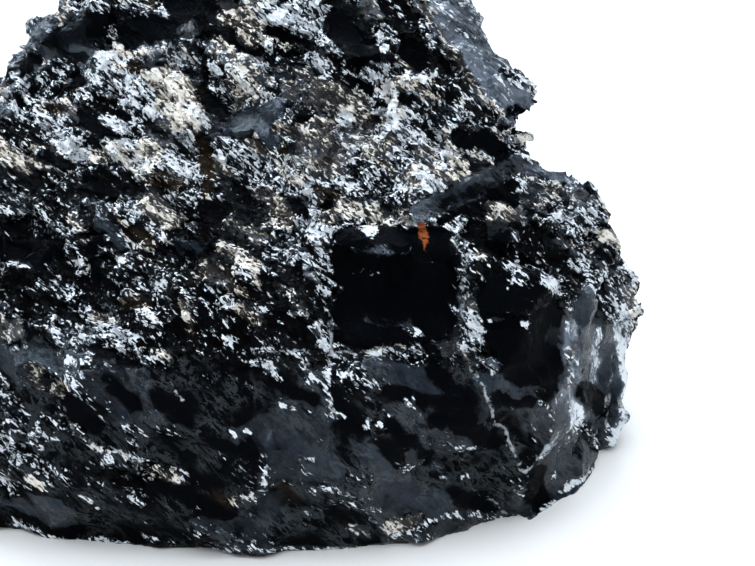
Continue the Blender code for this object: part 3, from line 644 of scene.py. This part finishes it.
def roughened(mesh):
    """Moves the mesh's points in and out by blocks, scars, ripples and veins, and marks what that made."""
    start = places_of(mesh)
    outward = read_points(mesh, "normal")
    seen = as_seen(start)
    front = facing_first_view(start, outward)
    calm = stone_marks(start, outward, CARVING_STROKE)[:, MARKS.index("calm")]
    base = eased(start[:, 2], 0.15, 1.2)
    places = start
    relief = np.zeros(len(places))
    for turn, (spacing, tilt, step, stretch) in enumerate(BLOCKS):
        height = block_heights(places, spacing, tilt, step, stretch, 100 * (turn + 1))
        height = np.clip(height, -spacing / 3, spacing / 5) - step * 0.3
        height *= (1 - calm) * base
        relief += height
        places = places + outward * height[:, None]
    glassy = np.flatnonzero(calm > 0.02)
    struck = (calm * base * (1 - 0.7 * end_face(start, seen)))[glassy]
    facet = np.full(len(places), 0.5)
    for turn, (spacing, tilt, depth, stretch) in enumerate(SCARS):
        height, lot = scar_heights(start[glassy], spacing, tilt, depth, stretch, 100 * (turn + 6))
        height = (height + spacing * 0.03) * struck
        facet[glassy] += (lot - 0.5) * 0.6**turn
        relief[glassy] += height
        places[glassy] += outward[glassy] * height[:, None]
    height = ripple_heights(places, calm * base)
    ragged = seen + stray_of(places, 3.2, 1.5, 81)[:, :2]
    for points, width in VEINS:
        nearness = eased(width * 1.2 - beside_line(ragged, points), 0, width)
        height -= nearness * CRACK_DEPTH * front * base
    put_inside_box(mesh, places + outward * height[:, None])
    mark(mesh, "facet", facet)
    mark(mesh, "relief", relief)


# The piece

def read_points(mesh, what):
    """One vector for each of the mesh's points."""
    flat = np.empty(len(mesh.vertices) * 3, np.float32)
    mesh.vertices.foreach_get(what, flat)
    return flat.reshape(-1, 3).astype(float)


def places_of(mesh):
    """The mesh's points in millimetres."""
    return read_points(mesh, "co") / MM


def put_inside_box(mesh, places):
    """Puts the points at these places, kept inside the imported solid's box."""
    low = np.array(cad_box[0]) / MM
    high = np.array(cad_box[1]) / MM
    places = np.clip(places, low, high)
    mesh.vertices.foreach_set("co", (places * MM).astype(np.float32).ravel())
    mesh.update()


def evened_out(mesh, kind, **settings):
    """The mesh after one modifier of this kind."""
    helper = bpy.data.objects.new("helper", mesh)
    bpy.context.scene.collection.objects.link(helper)
    change = helper.modifiers.new("change", kind)
    for name, value in settings.items():
        setattr(change, name, value)
    graph = bpy.context.evaluated_depsgraph_get()
    made = bpy.data.meshes.new_from_object(helper.evaluated_get(graph))
    bpy.data.objects.remove(helper)
    return made


def merged_copy(node):
    """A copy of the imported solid's mesh with its loose triangles joined."""
    mesh = node.data.copy()
    shape = bmesh.new()
    shape.from_mesh(mesh)
    bmesh.ops.remove_doubles(shape, verts=shape.verts, dist=1e-6)
    shape.to_mesh(mesh)
    shape.free()
    return mesh


def without_crumbs(mesh):
    """Takes away crumbs that the facets knocked loose, so that one body is left."""
    shape = bmesh.new()
    shape.from_mesh(mesh)
    waiting = set(shape.verts)
    bodies = []
    while waiting:
        body = {waiting.pop()}
        edge = list(body)
        while edge:
            neighbours = {e.other_vert(v) for v in edge for e in v.link_edges} - body
            body |= neighbours
            edge = list(neighbours)
        waiting -= body
        bodies.append(body)
    bodies.sort(key=len)
    crumbs = [v for body in bodies[:-1] for v in body]
    bmesh.ops.delete(shape, geom=crumbs, context="VERTS")
    shape.to_mesh(mesh)
    shape.free()


def ridge_share(mesh, places, outward):
    """How sharply the stone stands out at each point: above 0 on ridges, below 0 in clefts."""
    ends = np.empty(len(mesh.edges) * 2, np.int32)
    mesh.edges.foreach_get("vertices", ends)
    ends = ends.reshape(-1, 2)
    way = places[ends[:, 1]] - places[ends[:, 0]]
    length = np.linalg.norm(way, axis=1) + 1e-6
    bend = np.einsum("ij,ij->i", outward[ends[:, 1]] - outward[ends[:, 0]], way) / length
    count = np.bincount(ends.ravel(), minlength=len(places)) + 1e-6
    share = np.bincount(ends.ravel(), weights=np.repeat(bend, 2), minlength=len(places)) / count
    for _ in range(2):
        both = share[ends[:, 0]] + share[ends[:, 1]]
        share = np.bincount(ends.ravel(), weights=np.repeat(both, 2), minlength=len(places)) / count / 2
    return share


def mark(mesh, name, values):
    """Stores one number for each point of the mesh."""
    layer = mesh.attributes.new(name, "FLOAT", "POINT")
    layer.data.foreach_set("value", values.astype(np.float32))


def mark_surface(mesh):
    """Marks the kinds of stone, veins, rust and ridges on the finished points."""
    places = places_of(mesh)
    outward = read_points(mesh, "normal")
    seen = as_seen(places)
    front = facing_first_view(places, outward)
    for name, values in zip(MARKS, stone_marks(places, outward).T):
        mark(mesh, name, values)

    stray = stray_of(places, 3.2, 1.5, 81)
    ragged = seen + stray[:, :2]
    gaps = clouds(places, 2.6, 85, 3) - 0.42
    vein = np.full(len(places), -3.0)
    for points, width in VEINS:
        vein = np.maximum(vein, width / 2 - beside_line(ragged, points) + gaps * 0.9)
    _, _, room = nearest_cells(places + stray, CRACK_SPACING, 71)
    vein = np.where(front > 0.3, vein, CRACK_WIDTH - room + gaps * 0.9)
    mark(mesh, "vein", vein)

    rust = np.full(len(places), -3.0)
    for x, y, end_x, end_y, half in RUST:
        rust = np.maximum(rust, half - beside_line(seen, ((x, y), (end_x, end_y))))
    mark(mesh, "rust", np.where(front > 0.5, rust, -3))
    mark(mesh, "ridge", np.clip(ridge_share(mesh, places, outward), -1, 1))


# Shader maths

class Value:
    """A socket that can be added, multiplied and so on."""

    def __init__(self, finish, socket):
        self.finish = finish
        self.socket = socket

    def maths(self, operation, first, second):
        return self.finish.node("ShaderNodeMath", {"operation": operation}, {0: first, 1: second})[0]

    def __add__(self, other):
        return self.maths("ADD", self, other)

    def __radd__(self, other):
        return self.maths("ADD", other, self)

    def __sub__(self, other):
        return self.maths("SUBTRACT", self, other)

    def __rsub__(self, other):
        return self.maths("SUBTRACT", other, self)

    def __mul__(self, other):
        return self.maths("MULTIPLY", self, other)

    def __rmul__(self, other):
        return self.maths("MULTIPLY", other, self)


class Made:
    """A node whose outputs are read by name or number."""

    def __init__(self, finish, node):
        self.finish = finish
        self.node = node

    def __getitem__(self, output):
        return Value(self.finish, self.node.outputs[output])


class Finish:
    """A material under construction."""

    def __init__(self, name):
        self.material = bpy.data.materials.new(name)
        self.material.use_nodes = True
        self.tree = self.material.node_tree
        self.tree.nodes.clear()

    def node(self, kind, settings=None, inputs=None):
        """Adds a node: settings first, then the values or links of its sockets."""
        made = self.tree.nodes.new(kind)
        for name, value in (settings or {}).items():
            setattr(made, name, value)
        for name, value in (inputs or {}).items():
            socket = made.inputs[name]
            if isinstance(name, str):
                socket = next(s for s in made.inputs if s.name == name and s.enabled)
            if isinstance(value, Value):
                self.tree.links.new(value.socket, socket)
            else:
                socket.default_value = value
        return Made(self, made)

    def mix(self, first, second, share):
        """From the first colour to the second."""
        settings = {"data_type": "RGBA", "clamp_factor": True}
        return self.node("ShaderNodeMix", settings, {"Factor": share, "A": first, "B": second})[2]

    def eased(self, value, low, high):
        """A soft rise from 0 to 1 between two values."""
        settings = {"interpolation_type": "SMOOTHSTEP"}
        inputs = {"Value": value, "From Min": low, "From Max": high}
        return self.node("ShaderNodeMapRange", settings, inputs)[0]

    def tones(self, value, steps):
        """A colour that goes through these steps, each a value and the colour it leads to."""
        colour = steps[0][1]
        for (low, _), (high, tone) in zip(steps, steps[1:]):
            colour = self.mix(colour, tone, self.eased(value, low, high))
        return colour

    def mark(self, name):
        """One of the stone's own marks."""
        return self.node("ShaderNodeAttribute", {"attribute_name": name})["Fac"]

    def vector(self, operation, first, second):
        """Vector maths."""
        return self.node("ShaderNodeVectorMath", {"operation": operation}, {0: first, 1: second})

    def along_grain(self, point, stretch):
        """The point turned to the stone's grain and drawn together along it."""
        inputs = {"Vector": point, "Rotation": GRAIN_TURN, "Scale": (stretch, 1, 1)}
        return self.node("ShaderNodeMapping", {"vector_type": "TEXTURE"}, inputs)["Vector"]

    def noise(self, vector, scale, detail=3.0, roughness=0.55, distortion=0.0):
        """Soft noise from 0 to 1."""
        inputs = {"Vector": vector, "Scale": scale, "Detail": detail}
        inputs.update({"Roughness": roughness, "Distortion": distortion})
        return self.node("ShaderNodeTexNoise", {}, inputs)["Fac"]

    def cells(self, vector, scale):
        """Cells with a colour and a middle each."""
        return self.node("ShaderNodeTexVoronoi", {}, {"Vector": vector, "Scale": scale})

    def lot(self, cells):
        """One random number for each cell."""
        return self.node("ShaderNodeSeparateColor", {}, {"Color": cells["Color"]})["Red"]

    def facets(self, vector, cells, tilt):
        """Heights of small tilted facets, in the vector's own unit."""
        offset = self.vector("SUBTRACT", vector, cells["Position"])["Vector"]
        lean = self.vector("SUBTRACT", cells["Color"], (0.5, 0.5, 0.5))["Vector"]
        return self.vector("DOT_PRODUCT", offset, lean)["Value"] * (2 * math.tan(math.radians(tilt)))


def stone_finish(colours):
    """Black glass, crushed white rock, healed cracks, brown smoke and rust."""
    finish = Finish("morion_stone")
    metres = {0: finish.node("ShaderNodeTexCoord")["Object"], "Scale": 1 / MM}
    point = finish.node("ShaderNodeVectorMath", {"operation": "SCALE"}, metres)["Vector"]
    grain = finish.along_grain(point, GRAIN_STRETCH)
    splinters = finish.along_grain(point, SHARD_STRETCH)
    white, warm, milk, calm, smoke, dim = (finish.mark(name) for name in MARKS)
    vein, rust, ridge, facet, height = (finish.mark(name) for name in MADE_MARKS)

    # each small shard has one tone, and shards of like tone lie in clusters
    coarse = finish.cells(grain, 1.0)
    middle = finish.cells(splinters, 1.35)
    fine = finish.cells(splinters, 2.7)
    clusters = finish.noise(coarse["Position"], 0.50, 4.0, 0.7)
    torn = finish.noise(splinters, 1.9, 7.0, 0.8, 0.3)
    rough = (1.0 - 0.30 * finish.eased(milk, 0.3, 0.9)) * (1.0 - calm * 0.26)
    uneven = (clusters - 0.5) * CLUSTERED + (torn - 0.5) * TORN
    uneven = uneven + (finish.lot(middle) - 0.5) * LARGER_SPLINTERS
    uneven = uneven + (finish.lot(fine) - 0.5) * SMALLER_SPLINTERS
    column = finish.vector("MULTIPLY", point, (1.0, 1.0, 0.13))["Vector"]
    columns = (finish.noise(column, 1.3, 5.0, 0.72) - 0.5) * 2.4
    upright = finish.eased(milk, 1.80, 1.98)
    uneven = uneven * (1.0 - upright * 0.8) + columns * upright
    # ridges and raised relief come out lighter, and clefts and sunk places darker: painted highlight and
    # painted shade over the stone's own white and uneven tone
    light = white * 1.30 - 0.66 - uneven * rough + height * 0.18 + ridge * 0.5

    # glass: black, with slate haze, milky wisps and brown smoke in it
    wisps = finish.noise(grain, 0.34, 7.0, 0.74, 0.2)
    mute = finish.eased(dim + (facet - 0.5) * 1.1, 0.36, 0.64)
    haze = finish.eased(wisps + milk * 0.55 - mute * 0.3, 0.58, 0.98)
    glass = finish.mix(colours.black, colours.slate, haze)
    veil = finish.mix(colours.grey, colours.beige, finish.eased(warm, 0.3, 0.8))
    glass = finish.mix(glass, veil, finish.eased(milk + (wisps - 0.5) * 1.2, 0.75, 2.0))
    web = finish.noise(splinters, 0.40, 7.0, 0.78, 0.3) - 0.5
    web = 1.0 - finish.eased(web * web, 0.0, 0.0022)
    web = web * finish.eased(finish.noise(point, 0.11), 0.42, 0.58) * finish.eased(milk, 0.1, 0.4)
    glass = finish.mix(glass, colours.web, web)
    glass = finish.mix(glass, colours.smoke, smoke * finish.eased(wisps, 0.35, 0.55))

    # crushed rock: from deep to white through grey or beige, each shard with its own tone
    cool = finish.tones(light, ((0.0, glass), (0.06, colours.grey), (0.27, colours.white)))
    heated = finish.tones(light, ((-0.06, glass), (0.04, colours.beige), (0.32, colours.cream)))
    heat = finish.eased(warm + (clusters - 0.5) * 1.6, 0.35, 0.65)
    body = finish.mix(cool, heated, heat)

    # healed cracks, chipped ridges with a painted highlight along them, and rust
    ragged = finish.noise(point, 1.1, 6.0, 0.75) - 0.5
    line = finish.eased(vein + ragged * 2.2, 0.0, 0.4)
    body = finish.mix(body, colours.vein, line * 0.75)
    # grey along ridges: partly chipped edges, partly a painted highlight, weaker where the stone mirrors
    # less
    ridge_chips_and_highlight = finish.eased(ridge + (torn - 0.62) * 1.6, 0.12, 0.22) * (0.6 - dim * 0.5)
    body = finish.mix(body, colours.grey, ridge_chips_and_highlight)
    stain = finish.eased(rust + ragged * 2.0 + (torn - 0.5) * 2.0, 0.0, 0.3)
    body = finish.mix(body, colours.rust, stain)

    pale = finish.eased(light, 0.0, 0.20)
    polish = 0.07 + pale * 0.22 + finish.eased(milk, 1.0, 1.8) * 0.25 + stain * 0.3

    # small facets on crushed rock, low waves on glass
    crisp = 1.0 - calm * 0.97
    relief = (finish.noise(splinters, 0.85, 5.0, 0.68, 0.2) - 0.5) * 0.62 * calm
    for vector, cells, lean in zip((grain, splinters, splinters), (coarse, middle, fine), LEANS):
        relief = relief + finish.facets(vector, cells, lean) * crisp
    relief = relief + pale * 0.10 + line * 0.06
    bump = finish.node("ShaderNodeBump", {}, {"Strength": 1.0, "Distance": MM, "Height": relief})

    shared = {"Base Color": body, "Roughness": polish, "Normal": bump["Normal"], "IOR": QUARTZ_IOR}
    shared["Specular Tint"] = GLOSS_TINT
    clear, dull = (
        finish.node("ShaderNodeBsdfPrincipled", {}, {**shared, "Specular IOR Level": level})["BSDF"]
        for level in GLOSS
    )
    surface = finish.node("ShaderNodeMixShader", {}, {0: mute * (1.0 - pale), 1: clear, 2: dull})
    finish.node("ShaderNodeOutputMaterial", {}, {"Surface": surface["Shader"]})
    return finish.material


def table_finish():
    """Plain matt white."""
    finish = Finish("white_table")
    mottle = finish.noise(finish.node("ShaderNodeTexCoord")["Object"], 6.0)
    colour = finish.mix((0.88, 0.88, 0.87, 1), (0.91, 0.91, 0.90, 1), mottle)
    surface = finish.node("ShaderNodeBsdfPrincipled", {}, {"Base Color": colour, "Roughness": 0.7})
    finish.node("ShaderNodeOutputMaterial", {}, {"Surface": surface["BSDF"]})
    return finish.material


# Properties, operators and the panel

def colour_property(name, description, default):
    """A colour that the panel shows."""
    return bpy.props.FloatVectorProperty(
        name=name, description=description, default=default, size=4, subtype="COLOR", min=0, max=1
    )


def amount_property(name, description, default, unit="NONE"):
    """A number that the panel shows."""
    return bpy.props.FloatProperty(name=name, description=description, default=default, unit=unit)


class MorionSizes(bpy.types.PropertyGroup):
    """How finely the stone is worked."""

    grain: bpy.props.FloatProperty(
        name="Grain", description="Size of the even faces that the stone is worked in",
        default=0.00045, unit="LENGTH", precision=5,
    )
    triangles: bpy.props.IntProperty(
        name="Triangles", description="Triangles left on the finished stone", default=196000
    )
    sharp: bpy.props.FloatProperty(
        name="Sharp edges", description="Faces that meet more steeply than this show an edge",
        default=math.radians(17), subtype="ANGLE",
    )


class MorionColours(bpy.types.PropertyGroup):
    """The stone's colours."""

    black: colour_property("Black glass", "Clear black quartz", (0.0018, 0.0022, 0.0030, 1))
    slate: colour_property("Slate haze", "Milky haze inside the glass", (0.018, 0.024, 0.035, 1))
    smoke: colour_property("Brown smoke", "Thin brown glass", (0.020, 0.014, 0.009, 1))
    web: colour_property("Web", "Thin milky wisps inside the glass", (0.040, 0.047, 0.052, 1))
    # also the colour of the painted glints and painted highlights
    white: colour_property("White", "Crushed rock", (0.89, 0.945, 1.0, 1))
    # also the colour of the painted highlight along ridges
    grey: colour_property("Grey", "Dim flecks of the crushed rock", (0.165, 0.195, 0.24, 1))
    cream: colour_property("Cream", "Warm crushed rock", (0.95, 0.90, 0.82, 1))
    beige: colour_property("Beige", "Dim warm flecks", (0.22, 0.185, 0.145, 1))
    vein: colour_property("Healed crack", "Milky quartz in the cracks", (0.55, 0.60, 0.66, 1))
    rust: colour_property("Rust", "The stain above the hollow", (0.28, 0.075, 0.024, 1))


class MorionStage(bpy.types.PropertyGroup):
    """The table, lamps and room."""

    glints: amount_property("Glints", "Power of each window that the facets mirror", 14.0, "POWER")
    daylight: amount_property("Daylight", "Power of the broad soft light above", 25.0, "POWER")
    fill: amount_property("Fill", "Power of the soft light on the viewer's side", 3.0, "POWER")
    room: amount_property("Room", "Brightness of the dark room on the viewer's side", 0.06)
    table: amount_property("Table", "Side of the white table", 6.0, "LENGTH")


class MORION_OT_stone(bpy.types.Operator):
    """Dresses the lump: finer facets, cracks, crushed rock and glass"""

    bl_idname = "morion.stone"
    bl_label = "Morion stone"

    def execute(self, context):
        sizes = context.scene.morion_sizes
        mesh = merged_copy(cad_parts[NODE])
        mesh = evened_out(mesh, "REMESH", mode="VOXEL", voxel_size=sizes.grain)
        roughened(mesh)
        count = sum(len(face.vertices) - 2 for face in mesh.polygons)
        mesh = evened_out(mesh, "DECIMATE", ratio=min(1.0, sizes.triangles / count))
        put_inside_box(mesh, places_of(mesh))
        without_crumbs(mesh)
        mark_surface(mesh)
        mesh.shade_smooth()
        mesh.set_sharp_from_angle(angle=sizes.sharp)
        mesh.materials.clear()
        mesh.materials.append(stone_finish(context.scene.morion_colours))
        stone = bpy.data.objects.new(PIECE, mesh)
        context.scene.collection.objects.link(stone)
        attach(stone, "root")
        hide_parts(NODE)
        return {"FINISHED"}


def lamp(name, place, width, height, power, colour):
    """A soft rectangular lamp that points at the stone, in metres."""
    light = bpy.data.lights.new(name, "AREA")
    light.shape = "RECTANGLE"
    light.size = width
    light.size_y = height
    light.energy = power
    light.color = colour
    holder = bpy.data.objects.new(name, light)
    aim = Vector((0, 0, 0.05)) - Vector(place)
    holder.location = place
    holder.rotation_euler = aim.to_track_quat("-Z", "Y").to_euler()
    bpy.context.scene.collection.objects.link(holder)
    return holder


class MORION_OT_stage(bpy.types.Operator):
    """Sets the table, the lamps, the room and the camera"""

    bl_idname = "morion.stage"
    bl_label = "Table, light and camera"

    def execute(self, context):
        stage = context.scene.morion_stage
        mesh = bpy.data.meshes.new("white_table")
        shape = bmesh.new()
        bmesh.ops.create_grid(shape, x_segments=1, y_segments=1, size=stage.table / 2)
        shape.to_mesh(mesh)
        shape.free()
        mesh.materials.append(table_finish())
        table = bpy.data.objects.new("white_table", mesh)
        context.scene.collection.objects.link(table)

        for name, place, width, height in WINDOWS:
            window = lamp(name, place, width, height, stage.glints, WINDOW_COLOUR)
            window.visible_diffuse = False
        daylight = lamp("daylight", (-0.02, 0.02, 1.00), 1.7, 1.5, stage.daylight, DAYLIGHT_COLOUR)
        fill = lamp("fill", (0.25, -0.75, 0.55), 0.8, 0.6, stage.fill, FILL_COLOUR)
        for light in (daylight, fill):
            light.visible_glossy = False

        world = bpy.data.worlds.new("room")
        world.use_nodes = True
        background = world.node_tree.nodes["Background"]
        background.inputs["Color"].default_value = ROOM_COLOUR
        background.inputs["Strength"].default_value = stage.room
        context.scene.world = world

        angle = math.radians(VIEW_HEIGHT)
        back = Vector((0, -math.cos(angle), math.sin(angle)))
        camera = bpy.data.cameras.new("first_view")
        camera.lens = LENS
        camera.sensor_width = SENSOR
        camera.clip_start = 0.01
        holder = bpy.data.objects.new("first_view", camera)
        holder.location = (Vector(TARGET) + back * DISTANCE) * MM
        holder.rotation_euler = (-back).to_track_quat("-Z", "Y").to_euler()
        context.scene.collection.objects.link(holder)
        context.scene.camera = holder
        context.scene.view_settings.view_transform = "Standard"
        return {"FINISHED"}


class MORION_PT_panel(bpy.types.Panel):
    """Lists the stone and its stage"""

    bl_label = "Morion"
    bl_space_type = "VIEW_3D"
    bl_region_type = "UI"
    bl_category = "Morion"

    def draw(self, context):
        for group, operator in (
            ("morion_sizes", "morion.stone"),
            ("morion_colours", None),
            ("morion_stage", "morion.stage"),
        ):
            properties = getattr(context.scene, group)
            for name in properties.bl_rna.properties.keys():
                if name not in ("rna_type", "name"):
                    self.layout.prop(properties, name)
            if operator:
                self.layout.operator(operator)


CLASSES = (MorionSizes, MorionColours, MorionStage, MORION_OT_stone, MORION_OT_stage, MORION_PT_panel)


def register():
    for item in CLASSES:
        bpy.utils.register_class(item)
    bpy.types.Scene.morion_sizes = bpy.props.PointerProperty(type=MorionSizes)
    bpy.types.Scene.morion_colours = bpy.props.PointerProperty(type=MorionColours)
    bpy.types.Scene.morion_stage = bpy.props.PointerProperty(type=MorionStage)


def unregister():
    del bpy.types.Scene.morion_sizes
    del bpy.types.Scene.morion_colours
    del bpy.types.Scene.morion_stage
    for item in reversed(CLASSES):
        bpy.utils.unregister_class(item)


def main():
    """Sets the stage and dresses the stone."""
    register()
    bpy.ops.morion.stage()
    bpy.ops.morion.stone()


if __name__ == "__main__":
    main()
